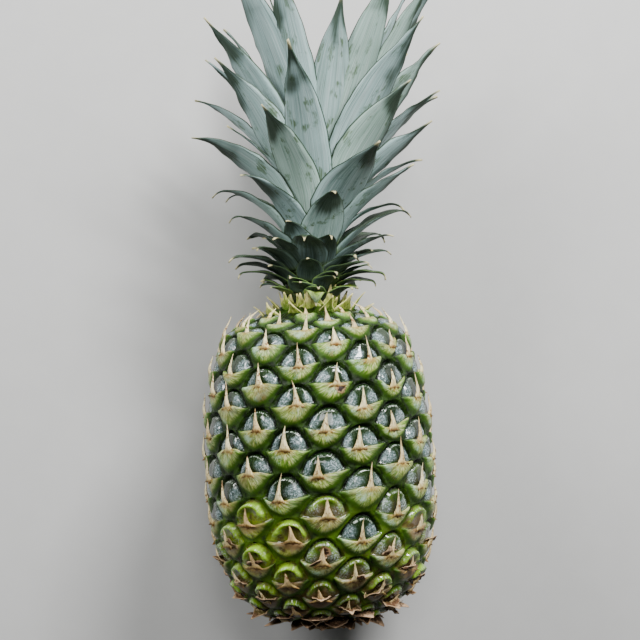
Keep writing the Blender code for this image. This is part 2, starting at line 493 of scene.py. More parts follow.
# One flat cell, in metres at the belly with the crown up, the place in its half of each vert (across from
# -1 to 1, and out from 0 on the line between the horns to 1 at the cell's edge), and the way back.
def eyeCell():
    cell = bmesh.new()
    ring = bmesh.ops.create_circle(cell, cap_ends=True, segments=6, radius=1)["verts"]
    for vert, (angle, step) in zip(ring, cellCorners()):
        vert.co = (angle * degreeLength, -step * barrel["drop"], 0)
    topRight, hornRight, lowRight, lowLeft, hornLeft, topLeft = [vert.co.copy() for vert in ring]
    bmesh.ops.connect_verts(cell, verts=[ring[1], ring[4]])
    bmesh.ops.subdivide_edges(cell, edges=cell.edges, cuts=rind["cuts"], use_grid_fill=True)

    def farEnds(upper):
        return (topLeft, topRight) if upper else (lowLeft, lowRight)

    # The height at x of the line between the horns, and of the cell's edge.
    def heights(x, upper):
        farLeft, farRight = farEnds(upper)
        middle = mix(hornLeft.y, hornRight.y, (x - hornLeft.x) / (hornRight.x - hornLeft.x))
        return middle, mix(farLeft.y, farRight.y, (x - farLeft.x) / (farRight.x - farLeft.x))

    def sides(out, upper):
        farLeft, farRight = farEnds(upper)
        return mix(hornLeft.x, farLeft.x, out), mix(hornRight.x, farRight.x, out)

    def placeOf(across, out, upper):
        x = mix(*sides(out, upper), (across + 1) / 2)
        middle, edge = heights(x, upper)
        return x, mix(middle, edge, out)

    shares = []
    for vert in cell.verts:
        x, y = vert.co.x, vert.co.y
        upper = y > heights(x, True)[0] + 1e-7
        middle, edge = heights(x, upper)
        out = min(max((y - middle) / (edge - middle), 0), 1)
        left, right = sides(out, upper)
        shares.append((mix(-1, 1, (x - left) / (right - left)), out, upper))
    for face in cell.faces:
        x, y = face.calc_center_median().xy
        face.material_index = int(y > heights(x, True)[0])
    layMap(cell, "eyeMap", mapSpan)
    mesh = bpy.data.meshes.new("eyeCell")
    cell.to_mesh(mesh)
    cell.free()
    return mesh, shares, placeOf


# Moves a place between -1 and 1 towards its nearer end, so that the rows are closest at the edges.
def crowd(share, power):
    side = 1 - max(1 - abs(share), 0) ** power
    return side if share > 0 else -side


# How far the line between bract and dome sags at a place.
def sagAt(across, out, eye):
    return (eye["slant"] * across - rind["dip"] * eye["dip"]) * (1 - across**2) * (1 - out) ** 2


# The lift along that line, which the halves of an eye share.
def seamLift(side):
    return mix(rind["seam"], rind["edge"], side**6)


# A place in the fleshy lower half of an eye: sideways, up and lift in millimetres, then what the
# materials read: rise (0 in the groove, 1 on the crest), bank (1 off the dome) and arch (the ripe rim).
def bractShape(across, out, eye):
    side = abs(across)
    reach = mix(*rind["narrow"], out**0.75) * eye["broad"]
    flank = max(side - reach + rind["flank"], 0) / (1 + rind["flank"] - reach)
    toe = min(max(out + 0.30 * side**1.5 - rind["toe"], 0) / (1 - rind["toe"]), 1)
    rise = (1 - flank**1.5) * (1 - toe**1.6)
    top = rind["bract"] * eye["plump"] * (1 - 0.20 * side**2 - 0.25 * out**1.5)
    top += rind["horns"] * ease(0.5, 0.85, side) * (1 - ease(0.0, 0.4, out))
    top -= rind["dent"] * eye["ripe"] * bell(0, 0.3, across) * ease(0, 0.3, out)
    lift = mix(seamLift(side), mix(rind["edge"], top, rise), ease(0.0, 0.10, out))
    hang = rind["lip"] * (ease(0, 0.045, out) - ease(0.05, 0.22, out)) * (1 - side**8)
    swell = rind["bulge"] * ease(reach - 0.1, reach + 0.02, side) * (1 - ease(reach + 0.03, 1, side))
    swell *= (1 - out) if across > 0 else (out - 1)
    return swell, sagAt(across, out, eye) + hang, lift, rise, 1.0, 0.0


# The same for a place in the glossy upper half.
def domeShape(across, out, eye):
    side = abs(across)
    square = rind["square"]
    rounded = (side**square + out**square) ** (1 / square) / rind["round"]
    rise = max(1 - min(rounded, 1) ** 4.0, 0) ** 0.6
    bank = max(ease(1.02, 1.16, rounded), ease(0.92, 1.0, max(side, out)) if rounded > 1 else 0)
    arch = bell(*rind["archAt"], rounded) * ease(0.05, 0.35, out) * eye["swollen"]
    ridge = bell(*rind["ridgeAt"], rounded) * ease(0.1, 0.3, out)
    groove = mix(rind["groove"], rind["edge"], 0.5 * eye["ripe"])
    lift = mix(groove, rind["dome"] * eye["domed"], rise)
    lift += (rind["edge"] - groove) * bank - rind["sunk"] * eye["ripe"] * rise
    lift += rind["arch"] * arch + rind["ridge"] * ridge
    furrow = rind["furrow"] * bell(0, 0.12, across) * (1 - ease(0.45, 0.75, out))
    crease = rind["crease"] * bell(0, 0.07, out - 0.62 + 0.25 * side) * (1 - ease(0.6, 0.9, side))
    lift -= (furrow + crease) * rise
    if out < 0.12:
        lift = mix(seamLift(side), lift, ease(0.0, 0.12, out))
    under = -rind["lip"] * (1 - ease(0, 0.1, out)) * (1 - side**8)
    return 0.0, sagAt(across, out, eye) + under, lift, rise, bank, arch


def eyeAngle(number):
    return barrel["firstAngle"] + barrel["turn"] * number


# What each eye is like: riper towards the base and in the blushed patch.
def makeEyes():
    eyes = {}
    for number in range(rind["firstEye"], rind["lastEye"] + 1):
        waver = dice.uniform(-rind["waver"], rind["waver"])
        ripe = ease(*rind["ripens"], barrelAt(number)[0] + waver)
        eye = drawEach(dice, rind["vary"])
        centre = fruitPoint(eyeAngle(number), number, 0)
        blushed = 1 - ease(*blush["size"], (centre - Vector(blush["place"])).length)
        eye["dip"] *= mix(1, rind["ripeDip"], ripe)
        eye["slant"] *= mix(1, rind["ripeSlant"], ripe)
        eye["swollen"] = mix(eye["swollen"] * ripe, blush["swollen"], blushed)
        eye["domed"] = mix(eye["domed"], blush["domed"], blushed)
        eye["ripe"] = max(ripe, blushed)
        eyes[number] = eye
    return eyes


# The place on the fruit of a vert of an eye, and its marks: rise, bank and arch.
def eyePoint(number, eye, share, placeOf):
    across, out, upper = share
    across = crowd(across, rind["crowd"][0])
    out = mix(out, crowd(out, rind["crowd"][1]), (1 - across**6) * upper)
    x, y = placeOf(across, out, upper)
    shape = domeShape if upper else bractShape
    swell, up, lift, *marks = shape(across, out, eye)
    angle = eyeAngle(number) + (x + swell * mm) / degreeLength
    step = number - (y + up * mm) / barrel["drop"]
    aside, down = driftAt(angle, step)
    angle, step = angle + aside, step + down
    point = fruitPoint(angle, step, 0)
    rough = sum(noise.noise(point * fineness) * height for fineness, height in rind["rough"])
    return fruitPoint(angle, step, (lift + rough) * eyeScale(step) * mm), marks


def makeRind(eyes, materials):
    skin = bmesh.new()
    cellMesh, shares, placeOf = eyeCell()
    tint, ripeness = markLayers(skin.faces.layers, "eyeTint", "eyeRipe")
    layers = markLayers(skin.verts.layers, "rise", "bank", "arch")
    for number, eye in eyes.items():
        firstVert, firstFace = len(skin.verts), len(skin.faces)
        skin.from_mesh(cellMesh)
        skin.verts.ensure_lookup_table()
        skin.faces.ensure_lookup_table()
        for vert, share in zip(skin.verts[firstVert:], shares):
            vert.co, marks = eyePoint(number, eye, share, placeOf)
            vert.co.z = max(vert.co.z, 0)
            for layer, value in zip(layers, marks):
                vert[layer] = value
        for face in skin.faces[firstFace:]:
            face[tint] = eye["tint"]
            face[ripeness] = eye["ripe"]
    bmesh.ops.remove_doubles(skin, verts=skin.verts, dist=0.02 * mm)
    for end, shift, radius in rind["ends"]:
        rim = [edge for edge in skin.edges if edge.is_boundary and edge.verts[0].co.y * barrel[end] > 0]
        grown = bmesh.ops.extrude_edge_only(skin, edges=rim)["geom"]
        for vert in (item for item in grown if isinstance(item, bmesh.types.BMVert)):
            flat = Vector((vert.co.x, 0, vert.co.z - barrel["axisHeight"])).normalized() * (radius * mm)
            vert.co = (flat.x, barrel[end] + shift * mm, barrel["axisHeight"] + flat.z)
        ring = [item for item in grown if isinstance(item, bmesh.types.BMEdge)]
        bmesh.ops.holes_fill(skin, edges=ring, sides=0)
    bmesh.ops.recalc_face_normals(skin, faces=skin.faces)
    bpy.data.meshes.remove(cellMesh)
    piece = addPiece("fruit_rind", skin, materials)
    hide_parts("fruit")


# The eye map as (across, up) in millimetres at the belly, both 0 in the middle of the eye.
def eyeMapParts(tree):
    return [swing(part, mapSpan / mm) for part in readMap(tree, "eyeMap")]


creaseShadeColours = {"base": (16, 28, 6), "green": (40, 66, 14), "lime": (92, 130, 24), "dead": (62, 46, 22)}


# The flesh down in the creases, the same on both sides of them: dark green that is partly painted shade,
# with lime and brown patches at the base.
def makeCreaseGroup():
    tree, given, sent = newGroup("creaseShadeFlesh", {"Vector": None}, ("Colour",))
    place = given["Vector"]
    along = readY(place)
    dead = remap(noiseAt(place, 120.0, 4.0, 0.65), 0.50, 0.60)
    colour = paint(
        creaseShadeColours,
        green=remap(noiseAt(place, 260.0, 4.0, 0.65), 0.40, 0.62),
        lime=times(remap(along, 0.0, -0.045, 0.0, 0.7), remap(noiseAt(place, 70.0), 0.38, 0.58)),
        dead=times(remap(along, -0.015, -0.060, 0.0, 0.8), dead),
    )
    feed(sent["Colour"], colour)
    return tree


def makeBlushGroup():
    tree, given, sent = newGroup("limeBlush", {"Vector": None}, ("Amount",))
    near = remap(awayFrom(given["Vector"], blush["place"]), blush["size"][1], blush["size"][0])
    patchy = remap(noiseAt(given["Vector"], 90.0), 0.28, 0.56)
    feed(sent["Amount"], times(near, patchy, blush["strength"]))
    return tree


# Old scars where insects fed: a dark pit inside a brown ring.
def makeScarGroup():
    tree, given, sent = newGroup("insectScar", {"Vector": None}, ("Ring", "Pit"))
    wobble = swing(noiseAt(given["Vector"], 650.0, 3.0, 0.7), scar["wobble"])
    ring = pit = 0.0
    for x, y, size in scar["places"]:
        top = barrel["axisHeight"] + sqrt((barrelRadius(y) + scar["lift"]) ** 2 - x * x)
        away = plus(awayFrom(given["Vector"], (x, y, top)), wobble)
        ring = math("MAXIMUM", remap(away, *(size * share for share in scar["ringEdge"])), ring)
        pit = math("MAXIMUM", remap(away, *(size * share for share in scar["pitEdge"])), pit)
    feed(sent["Ring"], ring)
    feed(sent["Pit"], pit)
    return tree


creaseShadeFlesh = makeCreaseGroup()
limeBlush = makeBlushGroup()
insectScar = makeScarGroup()


bractColours = {
    "base": (104, 150, 30),
    "ripe": (122, 146, 26),
    "blotch": (62, 102, 22),
    "young": (146, 166, 84),       # near the crown
    "middle": (178, 176, 60),
    "blush": (178, 200, 30),
    "dull": (146, 136, 70),
    "tufts": (186, 206, 122),
    "hairs": (236, 238, 180),
    "tuftShade": (54, 90, 20),
    "hairShade": (46, 74, 18),
    "crest": (214, 208, 140),      # the line along the upper edge, partly a painted highlight on the lip that faces the light
    "mealy": (172, 212, 182),
    "root": (162, 122, 40),        # round the spine
    "wither": (128, 94, 62),
    "stain": (78, 54, 34),
    "dry": (132, 104, 64),
    "old": (74, 52, 32),           # near the stalk
    # darker green down the flanks, partly painted shade where they turn from the light
    "flank": (56, 90, 17),
}


# Fleshy bract: pale hairs fan out of the spine's root, mealy patches, dark green towards the groove that is
# partly painted shade.
def makeBractMaterial():
    material, tree, shader = newMaterial("bractFlesh", Specular_IOR_Level=0.22, Coat_Roughness=0.3)
    across, up = eyeMapParts(tree)
    tint, ripe, rise = readMarks(tree, "eyeTint", "eyeRipe", "rise")
    place = objectPlace(tree)
    along = readY(place)
    below = math("SUBTRACT", 0.5, up)
    fan, radius = math("ARCTAN2", across, below), distance(across, below)
    hairs = streaks(fan, radius, tint, 20.0, 0.3)
    tufts = streaks(fan, radius, tint, 6.0, 0.35)
    bloom = dusted(place, 170.0, 1500.0, 0.6)
    blotch = noiseAt(place, 130.0, 4.0, 0.65)
    scarred = useGroup(insectScar, Vector=place)
    close = remap(plus(radius, times(blotch, 8.0)), 15.0, 7.0, 0.25, 1.0)
    ragged = remap(plus(radius, swing(blotch, 16.0)), 10.0, 5.0)
    dry = remap(noiseAt(place, 32.0, 4.0, 0.65), 0.54, 0.64)
    flesh = paint(
        bractColours | scar["colours"] | {"crease": useGroup(creaseShadeFlesh, Vector=place)[0]},
        ripe=ripe,
        blotch=remap(blotch, 0.42, 0.64),
        young=remap(plus(along, times(tint, 0.012)), 0.068, 0.092, 0.0, 0.6),
        middle=times(remap(math("ABSOLUTE", across), 4.5, 0.5), remap(hairs, 0.4, 0.62), 0.5),
        blush=useGroup(limeBlush, Vector=place)[0],
        dull=remap(tint, 0.55, 1.0, 0.0, 0.35),
        tufts=times(remap(tufts, 0.44, 0.64), 0.6, close),
        hairs=times(remap(hairs, 0.48, 0.66), 0.85, close),
        tuftShade=times(remap(tufts, 0.52, 0.36), 0.5),
        hairShade=times(remap(hairs, 0.48, 0.30), 0.5),
        # A pale line along the upper edge, partly a painted highlight.
        crest=times(remap(up, -1.0, -0.2), remap(blotch, 0.40, 0.58, 0.1, 0.7)),
        mealy=times(bloom["Mask"], remap(across, 5.0, -6.0, 0.15, 0.9), remap(rise, 0.5, 0.95)),
        root=times(remap(plus(radius, times(hairs, 9.0)), 9.6, 6.0), 0.8),
        wither=times(plus(times(ripe, 0.8), times(tint, 0.25)), ragged, 0.85),
        stain=times(remap(blotch, 0.56, 0.68), remap(ripe, 0.0, 1.0, 0.3, 0.95)),
        dry=times(dry, 0.55, remap(hairs, 0.35, 0.55)),
        old=remap(plus(along, swing(blotch, 0.09)), -0.046, -0.074, 0.0, 0.8),
        # Partly painted shade: darker green as the flank falls away.
        flank=remap(plus(rise, swing(blotch, 0.7)), 1.0, 0.45),
        # Painted shade: the crease colour down towards the groove.
        crease=remap(rise, 0.55, 0.0),
        ring=times(scarred["Ring"], 0.85),
        pit=scarred["Pit"],
    )
    matt, coat = remap(hairs, 0.3, 0.7, 0.36, 0.58), remap(rise, 0.6, 1.0, 0.0, 0.25)
    dress(shader, Base_Color=flesh, Roughness=matt, Coat_Weight=coat)
    sunk = math("SUBTRACT", scarred["Ring"], scarred["Pit"])
    addBump(shader, plus(hairs, times(bloom["Height"], 0.6), sunk), 0.6, 0.0007)
    return material


domeColours = {
    "base": (16, 32, 12),
    "tint": (28, 52, 18),
    "haze": (104, 126, 126),
    "ripe": (50, 78, 20),
    "tan": (112, 88, 52),
    "blush": (150, 184, 30),
    "arch": (140, 184, 36),        # the swollen rim of a ripe one
    "stain": (92, 70, 38),
    "frost": (214, 227, 236),
    "glint": (206, 220, 204),      # painted highlight: pale beaded glints along the upper rim
    # painted shade down in the groove round the dome
    "deep": (6, 11, 4),
}


# Glossy dome over each eye: near black green under a frosty bloom in two patches, bare along its rim, with
# painted glints along its upper rim and painted shade down in its groove.
def makeDomeMaterial():
    material, tree, shader = newMaterial("eyeDome", Specular_IOR_Level=0.12, Coat_Roughness=0.07)
    across, up = eyeMapParts(tree)
    tint, ripe, rise, bank, arch = readMarks(tree, "eyeTint", "eyeRipe", "rise", "bank", "arch")
    place = objectPlace(tree)
    bloom = dusted(place, 1100.0, 3000.0, 0.58)
    scarred = useGroup(insectScar, Vector=place)
    patchy = times(noiseAt(place, 260.0, 2.0, 0.5), 3.0)
    lobe = math("SUBTRACT", math("ABSOLUTE", across), 5.2)
    high = times(math("SUBTRACT", up, 2.4), 1.2)
    near = remap(plus(distance(lobe, high), patchy), 5.6, 2.8)
    beads = streaks(math("ARCTAN2", across, plus(up, 2.0)), up, tint, 22.0, 0.2)
    frost = times(bloom["Mask"], near, remap(ripe, 0.2, 1.0, 1.0, 0.15))
    cloud = remap(noiseAt(place, 640.0, 5.0, 0.75), 0.38, 0.60, 0.25, 0.95)
    stain = remap(noiseAt(place, 210.0, 4.0, 0.7), 0.46, 0.60)
    # Where the painted glints go: a band near the upper rim.
    rim = times(remap(rise, 0.50, 0.58), remap(rise, 0.72, 0.64), remap(up, 3.0, 5.5))
    # Painted shade: near black down in the groove, less on ripe eyes.
    deep = times(remap(rise, 0.50, 0.10), math("SUBTRACT", 1.0, bank), remap(ripe, 0.0, 1.0, 1.0, 0.45))
    body = paint(
        domeColours | scar["colours"] | {"crease": useGroup(creaseShadeFlesh, Vector=place)[0]},
        tint=tint,
        haze=times(near, cloud),
        ripe=ripe,
        tan=times(remap(plus(up, patchy), 6.5, 3.0), times(ripe, 0.85)),
        blush=times(useGroup(limeBlush, Vector=place)[0], 0.8),
        arch=times(arch, remap(noiseAt(place, 160.0), 0.32, 0.58, 0.35, 1.0)),
        stain=times(ripe, stain, remap(arch, 0.9, 0.4, 0.2, 0.75)),
        frost=times(frost, 0.76),
        glint=times(rim, remap(beads, 0.50, 0.60), 0.65),
        deep=deep,
        crease=bank,
        # Painted shade: the crease colour on the groove's bank.
        ring=times(scarred["Ring"], 0.85),
        pit=scarred["Pit"],
    )
    clear = times(remap(frost, 1.0, 0.0, 0.15, 0.9), remap(rise, 0.2, 0.5))
    dress(shader, Base_Color=body, Roughness=remap(frost, 0.0, 1.0, 0.22, 0.55), Coat_Weight=clear)
    addBump(shader, plus(bloom["Height"], times(beads, 0.8)), 0.8, 0.0006)
    return material


eyes = makeEyes()
makeRind(eyes, [makeBractMaterial(), makeDomeMaterial()])
print("rind made:", len(eyes), "eyes")


# The papery spine at the middle of each bract's upper edge, with two feet that curl out along it.
# Each row is how far up it stands, its half width, and its lift over the barrel. Millimetres.
spine = {
    "rows": (
        (-2.8, 1.8, 1.4), (-0.8, 2.3, 2.9), (0.5, 2.5, 3.3), (2.2, 1.75, 3.7),
        (4.6, 1.2, 3.6), (7.8, 0.75, 3.0), (11.2, 0.38, 2.6), (14.6, 0.06, 2.4),
    ),
    "footRow": 1,
    "footReach": (4.4, 8.8),   # half the width between its feet, on green eyes and on ripe ones
    "footDrop": -1.7,
    "footSag": 0.02,
    "footLift": 1.1,
    "shoulder": 1.5,           # how much broader it is just above its feet
    "curl": 1.0,
    "keel": 0.9,               # how steeply its sides fall off the middle, up to keelSide from it
    "keelSide": 1.8,
    "waist": 0.8,              # how far its sides drop between the feet, and rise at the root
    "rootSide": 1.2,
    "thickness": 0.25,
    "upright": 0.25,           # how much a spine points at the crown rather than along the rind
    "vary": {
        "length": (0.50, 0.86),
        "width": (0.75, 1.15),
        "lean": (-0.14, 0.14),
        "bend": (-1.6, 1.6),
        "stand": (-0.6, 0.8),
        "splay": (0, 1),
        "foot": (0.65, 1.15),
        "curl": (0.2, 1.4),
        "sag": (0.0, 1.2),
        "pale": (0, 0.7),
        "brown": (0, 1),
    },
    "brownest": 1.2,           # how brown the paper of a ripe eye gets
    "ripeLength": 0.8,         # how long its spine is beside a green one's
}


# (root, right, up, normal) of the spine of one eye.
def spineAxes(number):
    aside, down = driftAt(eyeAngle(number), number)
    angle, step = eyeAngle(number) + aside, number + down
    turn, slope = radians(angle), barrelAt(step)[2]
    along = Vector((-sin(turn) * sin(slope), cos(slope), -cos(turn) * sin(slope)))
    normal = Vector((sin(turn) * cos(slope), sin(slope), cos(turn) * cos(slope)))
    if slope > 0:
        along = along.lerp(Vector((0, 1, 0)), spine["upright"]).normalized()
    right = along.cross(normal).normalized()
    return fruitPoint(angle, step, 0), right, along, right.cross(along)


# Adds one spine to the bmesh: a keeled blade whose root is sunk in the bract.
def addSpine(paper, number, twist, layers):
    rows = spine["rows"]
    tint, share = layers
    made = bmesh.ops.create_grid(paper, x_segments=4, y_segments=len(rows) - 1, size=1)["verts"]
    root, right, up, normal = spineAxes(number)
    scale = eyeScale(number) * mm
    tip = rows[-1][0]
    for vert in made:
        row = round((vert.co.y + 1) / 2 * (len(rows) - 1))
        rise, half, lift = rows[row]
        side = vert.co.x
        x = side * half * twist["width"]
        lift -= spine["keel"] * abs(side) * min(half, spine["keelSide"])
        if row == spine["footRow"]:
            if abs(side) > 0.9:
                foot = twist["foot"] * (1 + 0.12 * side * twist["lean"])
                x = side * foot
                rise = spine["footDrop"] + spine["footSag"] * foot * foot * twist["sag"]
                lift += spine["footLift"] + spine["curl"] * twist["curl"]
            else:
                x *= spine["shoulder"]
                rise -= spine["waist"] * abs(side)
        elif row == 0:
            rise += spine["rootSide"] * abs(side)
        part = max(rise, 0) / tip
        rise = rise * mix(1, twist["length"], part) - rind["dip"] * 0.8 * (1 - part)
        x += twist["bend"] * part**2 + twist["lean"] * max(rise, 0)
        lift += twist["stand"] * part**2
        vert.co = root + (right * x + up * rise + normal * lift) * scale
        vert.co.z = max(vert.co.z, 0)
        vert[tint] = twist["shade"]
        vert[share] = row / (len(rows) - 1)


# Gives thin paper its thickness, in millimetres.
def thicken(paper, thickness):
    bmesh.ops.solidify(paper, geom=paper.faces, thickness=thickness * mm)
    bmesh.ops.recalc_face_normals(paper, faces=paper.faces)


def makeSpines(eyes, material):
    paper = bmesh.new()
    layers = markLayers(paper.verts.layers, "paperTint", "tipShare")
    for number, eye in eyes.items():
        twist = drawEach(dice, spine["vary"])
        twist["foot"] *= mix(*spine["footReach"], eye["ripe"] * twist["splay"])
        twist["shade"] = mix(twist["pale"], spine["brownest"], eye["ripe"] * twist["brown"])
        twist["length"] *= mix(1, spine["ripeLength"], eye["ripe"])
        addSpine(paper, number, twist, layers)
    thicken(paper, spine["thickness"])
    piece = addPiece("eye_spines", paper, [material])


paperColours = {
    "base": (244, 234, 184),
    "tint": (206, 176, 128),
    "fibre": (164, 140, 84),
    "grain": (124, 84, 50),
    "low": (200, 176, 96),
    "root": (136, 88, 42),
}


# Ivory paper that is orange brown at its root, with fine fibres along it.
def makePaperMaterial():
    material, tree, shader = newMaterial("dryPaper", Roughness=0.55, Specular_IOR_Level=0.3)
    tint, share = readMarks(tree, "paperTint", "tipShare")
    place = objectPlace(tree)
    fibre = fibreNoise(place, 1500.0, 260.0)
    grain = noiseAt(place, 500.0, 4.0)
    colour = paint(
        paperColours,
        tint=tint,
        fibre=times(remap(fibre, 0.48, 0.62), 0.75),
        grain=remap(grain, 0.54, 0.66),
        low=remap(share, 0.46, 0.16, 0.0, 0.6),
        root=remap(plus(share, swing(fibre, 0.5)), 0.30, 0.10, 0.0, 0.9),
    )
    dress(shader, Base_Color=colour)
    addBump(shader, plus(fibre, grain), 0.5, 0.0004)
    return material


makeSpines(eyes, makePaperMaterial())
print("spines made")

# Small pale bracts crowd the fruit's neck and stand round the crown's stem.
neck = {
    "piece": "neck_bracts",
    "material": "neckBract",
    "colours": {
        "base": (80, 118, 26),
        "middle": (152, 170, 66),
        "tip": (222, 212, 142),
        "vein": (104, 106, 40),
    },
    "spread": 0.5,         # how much those shift up or down
    "axis": 1,             # grows towards the crown
    "first": -26,          # steps of the spiral, from the stem outwards
    "last": 19,
    "length": (15, 10),    # millimetres, at the stem and at the outermost bract
    "width": (10, 12),
    "tilt": (2, 30),       # degrees from the fruit's axis
    "vary": 0.3,           # how unlike they are in length and width
    "sink": 2.5,
    "taper": 2.0,          # how far up a bract stays broad
    "point": 0.65,         # how much its upper half narrows into a spine
    "rib": 0.3,            # height of the ribs along it
    "torn": 1.3,
    "thickness": 0.4,
}

# Withered bracts close round the cut stalk.
foot = {
    "piece": "foot_bracts",
    "material": "footBract",
    "colours": {
        "base": (34, 26, 16),
        "middle": (74, 52, 34),
        "tip": (184, 152, 120),
        "vein": (40, 30, 20),
    },
    "spread": 0.5,
    "axis": -1,
    "first": 180,
    "last": 220,
    "length": (12, 6),
    "width": (15, 9),
    "tilt": (72, 18),
    "vary": 0.2,
    "sink": 1.6,
    "taper": 2.2,
    "point": 0.25,
    "rib": 0.3,
    "torn": 2.0,
    "thickness": 0.35,
}

# Dry, torn upper edges of the lowest bracts.
flap = {
    "piece": "base_flaps",
    "material": "flapBract",
    "colours": {
        "base": (84, 74, 34),
        "middle": (96, 66, 42),
        "tip": (196, 166, 130),
        "vein": (58, 38, 24),
    },
    "spread": 0.6,
    "first": 130,
    "last": 186,
    "length": (4, 8),
    "width": (9, 14),
    "tilt": (12, 55),      # degrees from the rind
    "vary": 0.3,
    "roll": 28,            # degrees either way along the rind
    "slide": 3,            # and millimetres
    "few": 0.35,           # how many are missing
    "lift": (1.0, 0.4),    # over the barrel
    "sink": 1.4,
    "taper": 3.0,
    "point": 0.55,
    "rib": 0.35,
    "torn": 2.4,
    "thickness": 0.35,
}

# How one scale differs from the next.
scaleVary = {
    "seed": (0, 90),
    "torn": (0.3, 1.0),
    "bow": (0.4, 1.6),
    "flick": (-1.0, 2.5),
    "lean": (-1.5, 1.5),
    "tint": (0, 1),
}
scaleTurn = 6              # how far off the spiral one sits at most, in degrees
scaleTilt = 40             # and how much it tilts
stemSide = 14.6 * mm       # where scales stand on the stem

# The shape that all scales share.
scaleShape = {
    "cells": 8,
    "base": (0.85, 0.3),   # its width at the base, and where it is at its broadest
    "waist": (0.25, 0.75), # where it narrows to its spine
    "tip": 0.25,           # half the width there
    "arch": 0.7,
    "cup": 0.30,           # how far its sides curl in
    "ribs": 11,
    "tornLength": 0.16,    # how much tears change its length, width and lift
    "tornWidth": 0.25,
    "tornLift": 0.9,
}


# Adds a small scale that grows along upright with its back to outward.
def addScale(flesh, base, upright, outward, plan, wander, layers):
    cells = {"x_segments": scaleShape["cells"], "y_segments": scaleShape["cells"]}
    made = bmesh.ops.create_grid(flesh, size=1, **cells)["verts"]
    across = outward.cross(upright).normalized()
    tint, tipShare, rimShare = layers
    width, length = wander["width"], wander["length"]
    narrow, broadest = scaleShape["base"]
    for vert in made:
        side, part = vert.co.x, (vert.co.y + 1) / 2
        half = width / 2 * (1 - part ** plan["taper"]) * mix(narrow, 1, ease(0, broadest, part))
        half = half * (1 - plan["point"] * ease(*scaleShape["waist"], part)) + scaleShape["tip"]
        torn = noiseIn(side * 3, part * 4, wander["seed"]) * wander["torn"] * (1 - part**2)
        bow = wander["bow"] * sin(part * pi * scaleShape["arch"]) + wander["flick"] * part**3
        rib = plan["rib"] * sin(side * scaleShape["ribs"] + wander["seed"])
        bow += (rib - scaleShape["cup"] * width / 2 * side * side) * (1 - part)
        bow += torn * scaleShape["tornLift"]
        rise = length * part * (1 + scaleShape["tornLength"] * torn)
        x = side * half * (1 + scaleShape["tornWidth"] * torn) + wander["lean"] * part * part
        vert.co = base + (across * x + upright * rise + outward * bow) * mm
        vert.co.z = max(vert.co.z, plan["thickness"] * mm)
        vert[tint] = wander["tint"]
        vert[tipShare] = part
        vert[rimShare] = max(abs(side), part)


def makeScales(plan, material):
    flesh = bmesh.new()
    layers = markLayers(flesh.verts.layers, "paperTint", "tipShare", "rimShare")
    spiral = range(plan["first"], plan["last"] + 1)
    vary = plan["vary"]
    for number in spiral:
        share = (number - plan["first"]) / len(spiral)
        angle = radians(eyeAngle(number) + dice.uniform(-scaleTurn, scaleTurn))
        if plan is flap:
            if dice.random() < plan["few"]:
                continue
            base, across, axis, radial = spineAxes(number)
            roll = dice.uniform(-1, 1)
            axis = (axis + across * roll * radians(plan["roll"])).normalized()
            base = base + (radial * mix(*plan["lift"], share) + across * roll * plan["slide"]) * mm
        else:
            axis, radial = Vector((0, plan["axis"], 0)), Vector((sin(angle), 0, cos(angle)))
            y, radius, _ = barrelAt(number)
            base = Vector((0, y, barrel["axisHeight"])) + radial * max(radius, stemSide)
        tilt = radians(mix(*plan["tilt"], share) + dice.uniform(-scaleTilt, scaleTilt) * vary)
        upright = axis * cos(tilt) + radial * sin(tilt)
        outward = radial * cos(tilt) - axis * sin(tilt)
        base = base - axis * plan["sink"] * mm
        wander = drawEach(dice, scaleVary)
        wander["torn"] *= plan["torn"]
        wander["length"] = mix(*plan["length"], share) * dice.uniform(1 - vary, 1 + vary)
        wander["width"] = mix(*plan["width"], share) * dice.uniform(1 - vary, 1 + vary * 0.7)
        addScale(flesh, base, upright, outward, plan, wander, layers)
    thicken(flesh, plan["thickness"])
    piece = addPiece(plan["piece"], flesh, [material])


# A small bract: its colour runs from its base to a dry tip and rim, with fine veins.
def makeScaleMaterial(plan):
    material, tree, shader = newMaterial(plan["material"], Roughness=0.6, Specular_IOR_Level=0.25)
    tint, share, edge = readMarks(tree, "paperTint", "tipShare", "rimShare")
    veins = fibreNoise(objectPlace(tree), 900.0, 140.0)
    along = plus(share, swing(tint, plan["spread"]))
    dry = plan["colours"]["tip"]
    colour = paint(
        plan["colours"] | {"fold": dry, "rim": dry},
        middle=remap(along, 0.10, 0.5),
        tip=remap(along, 0.60, 0.95),
        vein=times(remap(veins, 0.50, 0.64), 0.8),
        fold=times(remap(veins, 0.45, 0.32), 0.5),
        rim=times(remap(edge, 0.82, 1.0), 0.8),
    )
    dress(shader, Base_Color=colour)
    addBump(shader, veins, 0.5, 0.0004)
    return material


for plan in (neck, foot, flap):
    makeScales(plan, makeScaleMaterial(plan))
print("neck and foot made")


